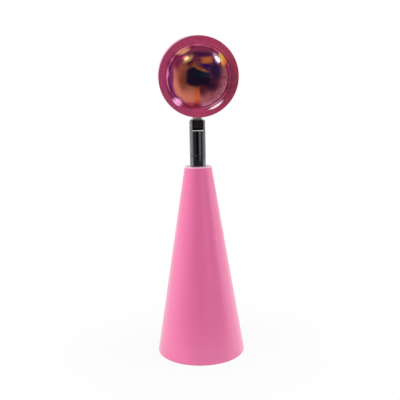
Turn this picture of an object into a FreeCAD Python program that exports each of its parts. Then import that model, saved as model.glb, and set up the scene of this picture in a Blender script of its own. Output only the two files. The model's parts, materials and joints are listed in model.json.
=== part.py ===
import FreeCAD, Part
import math
import os

# Sunset projection lamp: a weighted cone, a swivelling chrome neck and a tilting round head.
# Millimetres. +Z is up, the lens faces -Y and the power inlet faces +Y.
# The origin is on the cone's axis, in the plane that the foot pad rests on.

V = FreeCAD.Vector
UP = V(0, 0, 1)
ACROSS = V(1, 0, 0)

# ---------------------------------------------------------------- driving dimensions
# Fits and small edges
edge_rounding = 0.3
screw_rounding_share = 0.4
screw_recess_share = 0.35
running_clearance = 0.05
thread_clearance = 0.05
face_gap = 0.03
loose_clearance = 0.2

# Base cone
base_height = 158.2
base_radius = 36.8
cone_top_radius = 11.1
cone_wall = 2.2
cone_top_thickness = 3.0
cone_top_rounding = 0.8
cone_foot_rounding = 0.4

# Underside
foot_pad_margin = 2.6
foot_pad_thickness = 1.0
cone_lift = 0.3
cover_thickness = 2.0
cover_boss_inset = 5.8
cover_boss_radius = 3.4
cover_boss_height = 15.0
cover_boss_rib = 2.0
cover_boss_angles = (30.0, 150.0, 270.0)
cover_screw_radius = 1.4
cover_screw_head_radius = 2.7
cover_screw_head_height = 1.0
cover_screw_length = 12.0

# Ballast
ballast_gap = 2.6
ballast_height = 12.0
ballast_rounding = 1.0
ballast_post_offset = 11.0
ballast_post_radius = 3.2
ballast_post_height = 5.0
ballast_screw_radius = 1.4
ballast_screw_head_radius = 2.8
ballast_screw_head_height = 2.0

# Power inlet and its board
board_width = 24.0
board_depth = 15.5
board_clearance = 0.9
board_thickness = 1.2
board_height = 19.0
board_post_offset = 9.0
board_post_setback = 3.5
board_post_radius = 2.4
board_screw_radius = 0.95
board_screw_head_radius = 1.9
board_screw_head_height = 1.2
board_screw_length = 8.0
inlet_width = 8.94
inlet_height = 3.26
inlet_wall = 0.3
inlet_depth = 7.3
inlet_recess = 1.0
tongue_width = 6.7
tongue_thickness = 0.7
tongue_setback = 0.8
insulator_depth = 1.2
bezel_rim = 1.5
bezel_depth = 5.0
bezel_proud = 0.4
chip_size = V(5.0, 4.0, 1.4)
capacitor_radius = 2.5
capacitor_height = 5.5
component_spacing = 6.0
component_setback = 4.5

# Swivel at the top of the cone
neck_radius = 6.55
collar_height = 8.8
collar_stud_radius = 5.0
collar_stud_length = 9.0
journal_radius = 3.3
journal_tail = 2.2
lead_bore_radius = 1.9
collar_washer_radius = 8.0
collar_washer_thickness = 0.8
collar_nut_flats = 14.0
collar_nut_height = 3.0
swivel_washer_thickness = 0.25
swivel_washer_inset = 0.4
friction_washer_thickness = 0.45
clip_thickness = 0.6
clip_radius = 5.0
clip_groove_depth = 0.6
clip_mouth = 3.6

# Fork and hinge
fork_length = 29.6
fork_rounding = 3.2
fork_slot_width = 9.0
pivot_drop = 5.4
knuckle_radius = 4.2
knuckle_width = 8.2
knuckle_floor_gap = 0.3
pivot_radius = 1.5
pivot_inner_end = 2.0
pivot_head_radius = 2.3
pivot_head_thickness = 0.55
pivot_head_recess = 0.45
driver_slot_width = 0.6
driver_slot_depth = 0.25
pivot_washer_radius = 3.8

# Stem that carries the head, measured from the pivot
stem_radius = 3.9
stem_length = 8.4
stem_stud_radius = 2.9
stem_bore_radius = 1.5
stem_washer_radius = 5.4
stem_washer_thickness = 0.8
stem_nut_flats = 9.0
stem_nut_height = 2.5
stem_stud_spare = 0.85

# Head, measured along its optical axis from the stem's axis: plus is towards the light
head_pitch = 7.0
shell_side_radius = 30.8
shell_draft = 0.2
shell_front = 13.4
shell_rear = 20.0
shell_wall = 2.4
shell_back_rounding = 17.0
shell_front_rounding = 0.3
shell_boss_radius = 4.8
shell_boss_height = 0.5
shell_land_radius = 6.4
shell_land_height = 1.2
ledge_width = 0.8
vent_count = 10
vent_inner_radius = 5.5
vent_outer_radius = 12.0
vent_width = 1.6

# Front of the head
bezel_ring_thickness = 2.6
bezel_ring_overhang = 0.2
bezel_outer_rounding = 0.6
bezel_inner_rounding = 1.6
bezel_skirt_length = 3.3
bezel_skirt_wall = 0.8
lens_radius = 25.1
lens_foot_height = 1.0
lens_dome_height = 17.3
lens_flange_clearance = 0.45
lens_flange_thickness = 2.5
gasket_width = 2.3
gasket_thickness = 1.0

# Light engine
reflector_wall = 0.8
reflector_flange_thickness = 1.0
reflector_throat_radius = 8.3
reflector_throat_length = 2.4
emitter_board_radius = 13.0
emitter_board_thickness = 1.2
emitter_board_depth = 5.0
emitter_radius = 5.5
emitter_thickness = 0.7
emitter_screw_offset = 10.5
emitter_screw_radius = 0.9
emitter_screw_head_radius = 1.7
emitter_screw_head_height = 1.0
sink_radius = 13.5
sink_thickness = 2.0
sink_ear_offset = 17.0
sink_ear_radius = 3.5
sink_fin_count = 7
sink_fin_thickness = 1.2
sink_fin_height = 6.8
sink_post_radius = 2.7
sink_screw_radius = 1.2
sink_screw_head_radius = 2.5
sink_screw_head_height = 1.6
sink_screw_length = 8.0

# Leads
lead_radius = 1.1
head_lead_radius = 0.9
lead_bend_share = 0.45
lead_first_rise = 42.0
lead_second_rise = 84.0
lead_lean = 5.0
lead_end_gap = 1.5

# ---------------------------------------------------------------- derived sizes
cone_slope = (base_radius - cone_top_radius) / (base_height - cone_lift)
wall_across = cone_wall * math.sqrt(1.0 + cone_slope ** 2)


def cone_outside(height):
    """Outer radius of the base cone at a height."""
    return base_radius - cone_slope * (height - cone_lift)


def cone_inside(height):
    """Inner radius of the base cone at a height."""
    return cone_outside(height) - wall_across


foot_pad_radius = cone_inside(cone_lift) - foot_pad_margin
cover_low = foot_pad_thickness
cover_top = cover_low + cover_thickness
cover_boss_circle = cone_inside(cover_top) - cover_boss_inset
ballast_radius = cover_boss_circle - cover_boss_radius - ballast_gap
ballast_top = cover_top + ballast_height
board_top = board_height + board_thickness
board_corner = cone_inside(board_top) - board_clearance
board_rear = math.sqrt(board_corner ** 2 - (board_width / 2) ** 2)
board_front = board_rear - board_depth
board_post_y = board_rear - board_post_setback
inlet_centre = board_top + inlet_height / 2
inlet_mouth = cone_outside(inlet_centre) - inlet_recess
cone_ceiling = base_height - cone_top_thickness
collar_top = base_height + collar_height
stud_end = base_height - collar_stud_length
seam_height = collar_top + swivel_washer_thickness + face_gap
fork_top = seam_height + fork_length
pivot_height = fork_top - pivot_drop
slot_floor = pivot_height - knuckle_radius - knuckle_floor_gap
collar_bore_radius = journal_radius + running_clearance
journal_end = stud_end - journal_tail
clip_top = stud_end - face_gap - friction_washer_thickness
clip_low = clip_top - clip_thickness
clip_seat_radius = journal_radius - clip_groove_depth
pivot_head_outer = neck_radius - pivot_head_recess
pivot_head_inner = pivot_head_outer - pivot_head_thickness
pivot_bore_radius = pivot_radius + running_clearance
head_centre = stem_length + shell_boss_height + shell_side_radius
shell_rim_radius = shell_side_radius + shell_draft
shell_bore_radius = shell_side_radius - shell_wall
shell_back_inner = shell_wall - shell_rear
bezel_thread_radius = shell_bore_radius + ledge_width
bezel_skirt_radius = bezel_thread_radius - thread_clearance
bezel_skirt_inner = bezel_skirt_radius - bezel_skirt_wall
lens_flange_radius = bezel_skirt_inner - lens_flange_clearance
lens_flange_low = shell_front - lens_flange_thickness
gasket_low = lens_flange_low - gasket_thickness
ledge_depth = gasket_low - reflector_flange_thickness
stud_land = head_centre - shell_bore_radius + shell_land_height
stem_nut_low = stud_land + stem_washer_thickness
stem_end = stem_nut_low + stem_nut_height + stem_stud_spare
emitter_board_front = -emitter_board_depth
sink_front = emitter_board_front - emitter_board_thickness
sink_back = sink_front - sink_thickness


# ---------------------------------------------------------------- shape helpers
def turned(corners):
    """Solid turned about Z from a closed outline of (radius, height) corners."""
    points = [V(radius, 0, height) for radius, height in corners]
    face = Part.Face(Part.makePolygon(points + points[:1]))
    return face.revolve(V(0, 0, 0), UP, 360)


def rod(radius, low, high, x=0.0, y=0.0):
    """Upright cylinder between two heights."""
    return Part.makeCylinder(radius, high - low, V(x, y, low), UP)


def ring(outer, inner, low, high):
    """Upright tube or washer between two heights."""
    return rod(outer, low, high).cut(rod(inner, low, high))


def cross_rod(radius, start, end):
    """Cylinder along X on the axis, between two places."""
    return Part.makeCylinder(radius, end - start, V(start, 0, 0), ACROSS)


def hexagon(flats, low, high):
    """Hexagonal prism by its width across flats."""
    corner = flats / math.sqrt(3.0)
    points = []
    for side in range(7):
        angle = math.radians(60.0 * side)
        points.append(V(corner * math.cos(angle), corner * math.sin(angle), low))
    return Part.Face(Part.makePolygon(points)).extrude(V(0, 0, high - low))


def slot_block(width, height, front, rear, centre):
    """Bar along Y with half-round sides: the form of the inlet and its trim."""
    half = (width - height) / 2
    reach = height / 2
    top = Part.LineSegment(V(-half, front, centre + reach), V(half, front, centre + reach))
    right = Part.Arc(V(half, front, centre + reach), V(half + reach, front, centre),
                     V(half, front, centre - reach))
    bottom = Part.LineSegment(V(half, front, centre - reach), V(-half, front, centre - reach))
    left = Part.Arc(V(-half, front, centre - reach), V(-half - reach, front, centre),
                    V(-half, front, centre + reach))
    outline = Part.Wire([piece.toShape() for piece in (top, right, bottom, left)])
    return Part.Face(outline).extrude(V(0, rear - front, 0))


def round_circles(shape, fillet, circles):
    """Rounds the level circular edges given as (radius, height)."""
    chosen = []
    for edge in shape.Edges:
        if not isinstance(edge.Curve, Part.Circle):
            continue
        for radius, height in circles:
            same_radius = abs(edge.Curve.Radius - radius) < 1e-4
            if same_radius and abs(edge.Curve.Center.z - height) < 1e-4:
                chosen.append(edge)
    return shape.makeFillet(fillet, chosen)


def round_about(shape, count, start=0.0):
    """Copies of a shape spread evenly round the Z axis."""
    copies = []
    for index in range(count):
        copy = shape.copy()
        copy.rotate(V(0, 0, 0), UP, start + 360.0 * index / count)
        copies.append(copy)
    return copies


def mirrored(shape):
    """The shape and its mirror image across the plane X = 0."""
    return [shape, shape.mirror(V(0, 0, 0), ACROSS)]


def screw(radius, head_radius, head_height, length):
    """Pan-head screw on Z: the head stands on Z = 0 and the shank goes down."""
    head = round_circles(rod(head_radius, 0, head_height), screw_rounding_share * head_height,
                         [(head_radius, head_height)])
    recess = rod(screw_recess_share * head_radius, head_height / 2, head_height)
    return head.fuse(rod(radius, -length, 0)).cut(recess).removeSplitter()


def lead_along(points, radius):
    """Tube along straight runs joined by tangent arcs."""
    pieces = []
    start = points[0]
    least = None
    for before, corner, after in zip(points, points[1:], points[2:]):
        coming = (corner - before).normalize()
        going = (after - corner).normalize()
        turn = coming.getAngle(going)
        reach = lead_bend_share * min((corner - before).Length, (after - corner).Length)
        bend = reach / math.tan(turn / 2)
        least = bend if least is None else min(least, bend)
        arc_start = corner - coming * reach
        arc_end = corner + going * reach
        inward = (going - coming).normalize()
        middle = corner + inward * (bend / math.cos(turn / 2) - bend)
        pieces.append(Part.LineSegment(start, arc_start).toShape())
        pieces.append(Part.Arc(arc_start, middle, arc_end).toShape())
        start = arc_end
    pieces.append(Part.LineSegment(start, points[-1]).toShape())
    path = Part.Wire(pieces)
    section = Part.Wire(Part.makeCircle(radius, points[0], points[1] - points[0]))
    tube = path.makePipeShell([section], True, False)
    expected = math.pi * radius ** 2 * path.Length
    print("lead: length %.1f, least bend %.1f, volume ratio %.4f"
          % (path.Length, least, tube.Volume / expected))
    return tube


def on_head(shape):
    """From the head's optical frame (Z to the light, Y up) to its place on the lamp."""
    placed = shape.copy()
    placed.rotate(V(0, 0, 0), ACROSS, 90)
    placed.translate(V(0, 0, head_centre))
    return on_hinge(placed)


def on_hinge(shape):
    """From the hinge's own frame (origin at the pivot, stem upright) to its rest pose."""
    placed = shape.copy()
    placed.rotate(V(0, 0, 0), ACROSS, head_pitch)
    placed.translate(V(0, 0, pivot_height))
    return placed


def at_pivot(shape):
    """Lifts a shape built at the origin to the pivot."""
    placed = shape.copy()
    placed.translate(V(0, 0, pivot_height))
    return placed


def save(name, solids):
    """Writes one sub-part, a single solid or a group of like ones."""
    group = solids if isinstance(solids, list) else [solids]
    shape = group[0] if len(group) == 1 else Part.makeCompound(group)
    shape.exportStep("parts/" + name + ".step")
    print("%-20s solids %d  volume %.1f" % (name, len(shape.Solids), shape.Volume))


# ---------------------------------------------------------------- base
def cone_solid(extra=0.0):
    """The cone's outer form, swollen by an extra radius."""
    return turned([(0, cone_lift), (base_radius + extra, cone_lift),
                   (cone_top_radius + extra, base_height), (0, base_height)])


def boss_places():
    """Centres of the bosses that take the bottom cover's screws."""
    places = []
    for degrees in cover_boss_angles:
        angle = math.radians(degrees)
        places.append(V(cover_boss_circle * math.cos(angle),
                        cover_boss_circle * math.sin(angle), 0))
    return places


def cover_bosses(outer):
    """Screw bosses, each joined to the cone's wall by a rib."""
    high = cover_top + cover_boss_height
    bosses = []
    for place, degrees in zip(boss_places(), cover_boss_angles):
        boss = rod(cover_boss_radius, cover_top, high, place.x, place.y)
        rib = Part.makeBox(base_radius - cover_boss_circle, cover_boss_rib, high - cover_top,
                           V(cover_boss_circle, -cover_boss_rib / 2, cover_top))
        rib.rotate(V(0, 0, 0), UP, degrees)
        core = rod(cover_screw_radius + thread_clearance, cover_top, high - cone_wall,
                   place.x, place.y)
        bosses.append(boss.fuse(rib).cut(core).common(outer))
    return bosses


def base_cone():
    outer = round_circles(cone_solid(), cone_top_rounding, [(cone_top_radius, base_height)])
    outer = round_circles(outer, cone_foot_rounding, [(base_radius, cone_lift)])
    hollow = turned([(0, cone_lift), (cone_inside(cone_lift), cone_lift),
                     (cone_inside(cone_ceiling), cone_ceiling), (0, cone_ceiling)])
    shell = outer.cut(hollow)
    for boss in cover_bosses(outer):
        shell = shell.fuse(boss)
    shell = shell.cut(rod(collar_stud_radius + loose_clearance, cone_ceiling, base_height))
    doorway = slot_block(inlet_width + 2 * bezel_rim + 2 * thread_clearance,
                         inlet_height + 2 * bezel_rim + 2 * thread_clearance,
                         board_post_y, base_radius, inlet_centre)
    return shell.cut(doorway).removeSplitter()


def bottom_cover():
    plate = rod(cone_inside(cover_top) - loose_clearance, cover_low, cover_top)
    for place in boss_places():
        clear = cover_screw_radius + loose_clearance
        plate = plate.cut(rod(clear, cover_low, cover_top, place.x, place.y))
        sunk = rod(cover_screw_head_radius + loose_clearance, cover_low,
                   cover_low + cover_screw_head_height, place.x, place.y)
        plate = plate.cut(sunk)
    for side in (-1, 1):
        x = side * ballast_post_offset
        plate = plate.fuse(rod(ballast_post_radius, cover_low, cover_top + ballast_post_height, x))
        plate = plate.cut(rod(ballast_screw_radius + thread_clearance, cover_top,
                              cover_top + ballast_post_height, x))
        x = side * board_post_offset
        plate = plate.fuse(rod(board_post_radius, cover_low, board_height, x, board_post_y))
        plate = plate.cut(rod(board_screw_radius + thread_clearance,
                              board_height - board_screw_length - loose_clearance,
                              board_height, x, board_post_y))
    return plate.removeSplitter()


def foot_pad():
    return rod(foot_pad_radius, 0, foot_pad_thickness)


def cover_screws():
    screws = []
    for place in boss_places():
        piece = screw(cover_screw_radius, cover_screw_head_radius, cover_screw_head_height,
                      cover_screw_length)
        piece.rotate(V(0, 0, 0), ACROSS, 180)
        piece.translate(V(place.x, place.y, cover_low + cover_screw_head_height))
        screws.append(piece)
    return screws


def ballast():
    puck = round_circles(rod(ballast_radius, cover_top, ballast_top), ballast_rounding,
                         [(ballast_radius, ballast_top)])
    for side in (-1, 1):
        x = side * ballast_post_offset
        pocket_top = cover_top + ballast_post_height + loose_clearance
        puck = puck.cut(rod(ballast_post_radius + loose_clearance, cover_top, pocket_top, x))
        puck = puck.cut(rod(ballast_screw_radius + loose_clearance, cover_top, ballast_top, x))
    return puck


def ballast_screws():
    piece = screw(ballast_screw_radius, ballast_screw_head_radius, ballast_screw_head_height,
                  ballast_height - loose_clearance)
    piece.translate(V(ballast_post_offset, 0, ballast_top))
    return mirrored(piece)


# ---------------------------------------------------------------- power inlet
def inlet_board():
    board = Part.makeBox(board_width, board_rear - board_front, board_thickness,
                         V(-board_width / 2, board_front, board_height))
    for side in (-1, 1):
        board = board.cut(rod(board_screw_radius + loose_clearance, board_height, board_top,
                              side * board_post_offset, board_post_y))
    return board


def inlet_board_screws():
    piece = screw(board_screw_radius, board_screw_head_radius, board_screw_head_height,
                  board_thickness + board_screw_length)
    piece.translate(V(board_post_offset, board_post_y, board_top))
    return mirrored(piece)


def inlet_shell():
    outer = slot_block(inlet_width, inlet_height, inlet_mouth - inlet_depth, inlet_mouth,
                       inlet_centre)
    inner = slot_block(inlet_width - 2 * inlet_wall, inlet_height - 2 * inlet_wall,
                       inlet_mouth - inlet_depth, inlet_mouth, inlet_centre)
    return outer.cut(inner)


def inlet_tongue():
    rear = inlet_mouth - inlet_depth
    clear = inlet_wall + face_gap
    block = slot_block(inlet_width - 2 * clear, inlet_height - 2 * clear, rear,
                       rear + insulator_depth, inlet_centre)
    tongue = Part.makeBox(tongue_width, inlet_depth - tongue_setback, tongue_thickness,
                          V(-tongue_width / 2, rear, inlet_centre - tongue_thickness / 2))
    return block.fuse(tongue).removeSplitter()


def inlet_bezel():
    front = cone_outside(inlet_centre) - bezel_depth
    outer = slot_block(inlet_width + 2 * bezel_rim, inlet_height + 2 * bezel_rim, front,
                       base_radius, inlet_centre)
    inner = slot_block(inlet_width + loose_clearance * 2, inlet_height + loose_clearance * 2,
                       front, base_radius, inlet_centre)
    return outer.cut(inner).common(cone_solid(bezel_proud))


def driver_chip():
    corner = V(-component_spacing - chip_size.x / 2,
               board_front + component_setback - chip_size.y / 2, board_top)
    return Part.makeBox(chip_size.x, chip_size.y, chip_size.z, corner)


def capacitor():
    return rod(capacitor_radius, board_top, board_top + capacitor_height, component_spacing,
               board_front + component_setback)


def supply_lead():
    start_y = board_front + component_setback - lead_radius
    points = [V(0, start_y, board_top), V(0, start_y, board_top + lead_first_rise),
              V(0, lead_lean, board_top + lead_second_rise), V(0, 0, journal_end - lead_lean),
              V(0, 0, slot_floor - lead_end_gap)]
    return lead_along(points, lead_radius)


# ---------------------------------------------------------------- swivel
def neck_collar():
    ferrule = round_circles(rod(neck_radius, base_height, collar_top), edge_rounding,
                            [(neck_radius, collar_top)])
    body = ferrule.fuse(rod(collar_stud_radius, stud_end, base_height))
    return body.cut(rod(collar_bore_radius, stud_end, collar_top)).removeSplitter()


def collar_washer():
    return ring(collar_washer_radius, collar_stud_radius + loose_clearance,
                cone_ceiling - collar_washer_thickness, cone_ceiling)


def collar_nut():
    high = cone_ceiling - collar_washer_thickness
    low = high - collar_nut_height
    return hexagon(collar_nut_flats, low, high).cut(
        rod(collar_stud_radius + thread_clearance, low, high))


def swivel_washer():
    return ring(neck_radius - swivel_washer_inset, collar_bore_radius, collar_top,
                collar_top + swivel_washer_thickness)


def friction_washer():
    return ring(clip_radius - swivel_washer_inset, journal_radius + face_gap, clip_top,
                clip_top + friction_washer_thickness)


def retaining_clip():
    clip = ring(clip_radius, clip_seat_radius + face_gap, clip_low, clip_top)
    mouth = Part.makeBox(clip_mouth, clip_radius, clip_thickness, V(-clip_mouth / 2, 0, clip_low))
    return clip.cut(mouth)


# ---------------------------------------------------------------- fork and hinge
def neck_fork():
    body = rod(neck_radius, seam_height, fork_top)
    body = round_circles(body, fork_rounding, [(neck_radius, fork_top)])
    body = round_circles(body, edge_rounding, [(neck_radius, seam_height)])
    body = body.fuse(rod(journal_radius, journal_end, seam_height))
    groove = ring(neck_radius, clip_seat_radius, clip_low - face_gap, clip_top)
    slot = Part.makeBox(fork_slot_width, 4 * neck_radius, fork_top - slot_floor,
                        V(-fork_slot_width / 2, -2 * neck_radius, slot_floor))
    bore = rod(lead_bore_radius, journal_end, slot_floor)
    pin_bore = at_pivot(cross_rod(pivot_bore_radius, -neck_radius, neck_radius))
    body = body.cut(groove).cut(slot).cut(bore).cut(pin_bore)
    for side in (-1, 1):
        start = min(side * pivot_head_inner, side * neck_radius)
        seat = cross_rod(pivot_head_radius + thread_clearance, start,
                         start + neck_radius - pivot_head_inner)
        body = body.cut(at_pivot(seat))
    return body.removeSplitter()


def pivot_screws():
    shank = cross_rod(pivot_radius, pivot_inner_end, pivot_head_inner)
    head = cross_rod(pivot_head_radius, pivot_head_inner, pivot_head_outer)
    slot = Part.makeBox(driver_slot_depth, 2 * pivot_head_radius, driver_slot_width,
                        V(pivot_head_outer - driver_slot_depth, -pivot_head_radius,
                          -driver_slot_width / 2))
    return mirrored(at_pivot(shank.fuse(head).cut(slot).removeSplitter()))


def pivot_washers():
    inner = knuckle_width / 2 + face_gap
    outer = fork_slot_width / 2 - face_gap
    washer = cross_rod(pivot_washer_radius, inner, outer).cut(
        cross_rod(pivot_bore_radius, inner, outer))
    return mirrored(at_pivot(washer))


def hinge_stem():
    knuckle = cross_rod(knuckle_radius, -knuckle_width / 2, knuckle_width / 2)
    stem = rod(stem_radius, 0, stem_length).fuse(rod(stem_stud_radius, 0, stem_end))
    lead_way = rod(stem_bore_radius, -knuckle_radius - 1, stem_end)
    pin_way = cross_rod(pivot_bore_radius, -knuckle_width / 2, knuckle_width / 2)
    return on_hinge(knuckle.fuse(stem).cut(lead_way).cut(pin_way).removeSplitter())


def stem_washer():
    return on_hinge(ring(stem_washer_radius, stem_stud_radius + loose_clearance, stud_land,
                         stem_nut_low))


def stem_nut():
    high = stem_nut_low + stem_nut_height
    nut = hexagon(stem_nut_flats, stem_nut_low, high)
    return on_hinge(nut.cut(rod(stem_stud_radius + thread_clearance, stem_nut_low, high)))


# ---------------------------------------------------------------- head housing
def shell_outer():
    """The round housing's outer form, in the optical frame."""
    body = turned([(0, -shell_rear), (shell_side_radius, -shell_rear),
                   (shell_rim_radius, shell_front), (0, shell_front)])
    body = round_circles(body, shell_back_rounding, [(shell_side_radius, -shell_rear)])
    return round_circles(body, shell_front_rounding, [(shell_rim_radius, shell_front)])


def shell_hollow():
    """The housing's stepped bore, in the optical frame."""
    rounding = shell_back_rounding - shell_wall
    bore = rod(shell_bore_radius, shell_back_inner, ledge_depth)
    bore = round_circles(bore, rounding, [(shell_bore_radius, shell_back_inner)])
    return bore.fuse(rod(bezel_thread_radius, ledge_depth, shell_front))


def below_head(shape):
    """From the hinge's frame to the optical frame."""
    placed = shape.copy()
    placed.translate(V(0, 0, -head_centre))
    placed.rotate(V(0, 0, 0), ACROSS, -90)
    return placed


def sink_posts(outer):
    """Two posts on the housing's back wall, which carry the heat sink."""
    post = rod(sink_post_radius, -shell_rear, sink_back, sink_ear_offset)
    core = rod(sink_screw_radius + thread_clearance,
               sink_front - sink_screw_length - loose_clearance, sink_back, sink_ear_offset)
    return mirrored(post.common(outer).cut(core))


def vents():
    slot = Part.makeBox(vent_outer_radius - vent_inner_radius, vent_width, 2 * shell_wall,
                        V(vent_inner_radius, -vent_width / 2, -shell_rear - shell_wall / 2))
    return round_about(slot, vent_count, 180.0 / vent_count)


def head_shell():
    outer = shell_outer()
    shell = outer.cut(shell_hollow())
    outside = below_head(rod(shell_boss_radius, stem_length, stud_land))
    inside = below_head(rod(shell_land_radius, stem_length, stud_land)).common(outer)
    shell = shell.fuse(outside).fuse(inside)
    shell = shell.cut(below_head(rod(stem_stud_radius + loose_clearance, 0, stud_land)))
    for post in sink_posts(outer):
        shell = shell.fuse(post)
    for vent in vents():
        shell = shell.cut(vent)
    return on_head(shell.removeSplitter())


def front_bezel():
    outer_radius = shell_rim_radius + bezel_ring_overhang
    inner_radius = lens_radius + loose_clearance
    face = shell_front + bezel_ring_thickness
    flange = ring(outer_radius, inner_radius, shell_front, face)
    flange = round_circles(flange, bezel_outer_rounding, [(outer_radius, face)])
    flange = round_circles(flange, bezel_inner_rounding, [(inner_radius, face)])
    skirt = ring(bezel_skirt_radius, bezel_skirt_inner, shell_front - bezel_skirt_length,
                 shell_front)
    return on_head(flange.fuse(skirt).removeSplitter())


def dome_lens():
    base = shell_front + lens_foot_height
    sphere_radius = (lens_radius ** 2 + lens_dome_height ** 2) / (2 * lens_dome_height)
    centre = base + lens_dome_height - sphere_radius
    ball = Part.makeSphere(sphere_radius, V(0, 0, centre))
    dome = ball.common(rod(lens_radius, base, base + lens_dome_height))
    foot = rod(lens_radius, shell_front, base)
    flange = rod(lens_flange_radius, lens_flange_low, shell_front)
    return on_head(flange.fuse(foot).fuse(dome).removeSplitter())


def lens_gasket():
    return on_head(ring(lens_flange_radius, lens_flange_radius - gasket_width, gasket_low,
                        lens_flange_low))


# ---------------------------------------------------------------- light engine
def reflector_cup():
    flange_radius = bezel_thread_radius - loose_clearance
    mouth = shell_bore_radius - 2 * ledge_width
    throat_low = emitter_board_front + running_clearance
    throat_top = throat_low + reflector_throat_length
    inner_throat = reflector_throat_radius - reflector_wall
    cup = turned([(reflector_throat_radius, throat_low), (reflector_throat_radius, throat_top),
                  (mouth, ledge_depth), (flange_radius, ledge_depth),
                  (flange_radius, gasket_low), (mouth - reflector_wall, gasket_low),
                  (inner_throat, throat_top + reflector_wall / 2), (inner_throat, throat_low)])
    return on_head(cup)


def led_board():
    board = rod(emitter_board_radius, sink_front, emitter_board_front)
    hole = rod(emitter_screw_radius + loose_clearance, sink_front, emitter_board_front,
               emitter_screw_offset)
    for one in mirrored(hole):
        board = board.cut(one)
    return on_head(board)


def led_emitter():
    top = emitter_board_front + emitter_thickness
    disc = rod(emitter_radius, emitter_board_front, top)
    return on_head(round_circles(disc, emitter_thickness / 2, [(emitter_radius, top)]))


def led_board_screws():
    piece = screw(emitter_screw_radius, emitter_screw_head_radius, emitter_screw_head_height,
                  emitter_board_thickness + sink_thickness - loose_clearance)
    piece.translate(V(emitter_screw_offset, 0, emitter_board_front))
    return [on_head(one) for one in mirrored(piece)]


def heat_sink():
    sink = rod(sink_radius, sink_back, sink_front)
    for side in (-1, 1):
        ear = rod(sink_ear_radius, sink_back, sink_front, side * sink_ear_offset)
        low_x = min(0, side * sink_ear_offset)
        arm = Part.makeBox(sink_ear_offset, 2 * sink_ear_radius, sink_thickness,
                           V(low_x, -sink_ear_radius, sink_back))
        sink = sink.fuse(ear).fuse(arm)
    pitch = 2 * sink_radius / sink_fin_count
    envelope = rod(sink_radius, sink_back - sink_fin_height, sink_back)
    for index in range(sink_fin_count):
        x = (index - (sink_fin_count - 1) / 2) * pitch
        fin = Part.makeBox(sink_fin_thickness, 2 * sink_radius, sink_fin_height,
                           V(x - sink_fin_thickness / 2, -sink_radius,
                             sink_back - sink_fin_height))
        sink = sink.fuse(fin.common(envelope))
    for side in (-1, 1):
        sink = sink.cut(rod(sink_screw_radius + loose_clearance, sink_back, sink_front,
                            side * sink_ear_offset))
        sink = sink.cut(rod(emitter_screw_radius + thread_clearance, sink_back, sink_front,
                            side * emitter_screw_offset))
    return on_head(sink.removeSplitter())


def heat_sink_screws():
    piece = screw(sink_screw_radius, sink_screw_head_radius, sink_screw_head_height,
                  sink_screw_length)
    piece.translate(V(sink_ear_offset, 0, sink_front))
    return [on_head(one) for one in mirrored(piece)]


def head_lead():
    end_y = emitter_board_depth - head_lead_radius - loose_clearance
    end_z = head_centre - emitter_board_radius + 2 * head_lead_radius
    points = [V(0, 0, pivot_radius), V(0, 0, stem_end), V(0, end_y, end_z)]
    return on_hinge(lead_along(points, head_lead_radius))


# ---------------------------------------------------------------- build
SUBPARTS = (base_cone, bottom_cover, foot_pad, cover_screws, ballast, ballast_screws,
            inlet_board, inlet_board_screws, inlet_shell, inlet_tongue, inlet_bezel,
            driver_chip, capacitor, supply_lead, neck_collar, collar_washer, collar_nut,
            swivel_washer, friction_washer, retaining_clip, neck_fork, pivot_screws,
            pivot_washers, hinge_stem, stem_washer, stem_nut, head_shell, front_bezel,
            dome_lens, lens_gasket, reflector_cup, led_board, led_emitter,
            led_board_screws, heat_sink, heat_sink_screws, head_lead)

os.makedirs("parts", exist_ok=True)
print("seam %.2f  slot floor %.2f  pivot %.2f  fork top %.2f"
      % (seam_height, slot_floor, pivot_height, fork_top))
for subpart in SUBPARTS:
    save(subpart.__name__, subpart())
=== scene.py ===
# %% [markdown]
# # A sunset projection lamp, one cell at a time
# The lamp is a tall pink cone, a slim dark chrome neck that swivels, and a round head that tilts
# and looks at us with one domed, colour-coated lens. Its mechanical parts already exist at their
# real size. This lesson dresses them: it makes smooth skins where a close look needs them, mixes
# the finishes, and sets up a small white studio.

# %% Load the lamp's mechanical parts
import json
import math

import bmesh
import bpy
import numpy as np
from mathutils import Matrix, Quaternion, Vector


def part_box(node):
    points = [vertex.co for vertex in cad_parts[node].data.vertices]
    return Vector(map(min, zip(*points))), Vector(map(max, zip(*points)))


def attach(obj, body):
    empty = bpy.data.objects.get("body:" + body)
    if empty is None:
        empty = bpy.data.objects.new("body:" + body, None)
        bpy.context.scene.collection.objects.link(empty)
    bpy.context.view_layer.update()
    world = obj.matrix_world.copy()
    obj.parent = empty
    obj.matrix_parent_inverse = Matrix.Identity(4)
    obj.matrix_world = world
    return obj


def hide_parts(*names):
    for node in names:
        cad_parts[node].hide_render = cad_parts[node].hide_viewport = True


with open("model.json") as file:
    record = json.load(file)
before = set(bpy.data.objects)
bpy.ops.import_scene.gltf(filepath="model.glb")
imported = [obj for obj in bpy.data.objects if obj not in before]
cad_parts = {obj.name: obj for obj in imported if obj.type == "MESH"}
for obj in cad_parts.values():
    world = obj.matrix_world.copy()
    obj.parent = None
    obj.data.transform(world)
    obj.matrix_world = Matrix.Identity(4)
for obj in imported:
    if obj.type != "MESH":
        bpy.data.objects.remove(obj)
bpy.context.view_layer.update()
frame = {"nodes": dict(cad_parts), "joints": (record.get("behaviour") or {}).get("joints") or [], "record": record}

MM = 0.001
node = frame["nodes"]
joint = {entry["name"]: entry for entry in frame["joints"]}
print("parts:", len(node), " joints:", sorted(joint))

# %% [markdown]
# ## Where things are
# Everything is placed from the mechanical parts: the cone's box gives its foot and height, and the
# hinge gives the pivot of the head. The head's own pieces are easiest to draw in the head's optical
# frame, with Z along the light and Y up, and one function then carries points to the lamp: it turns
# them by the head's rest pitch about X, and moves them to the pivot.

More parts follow.
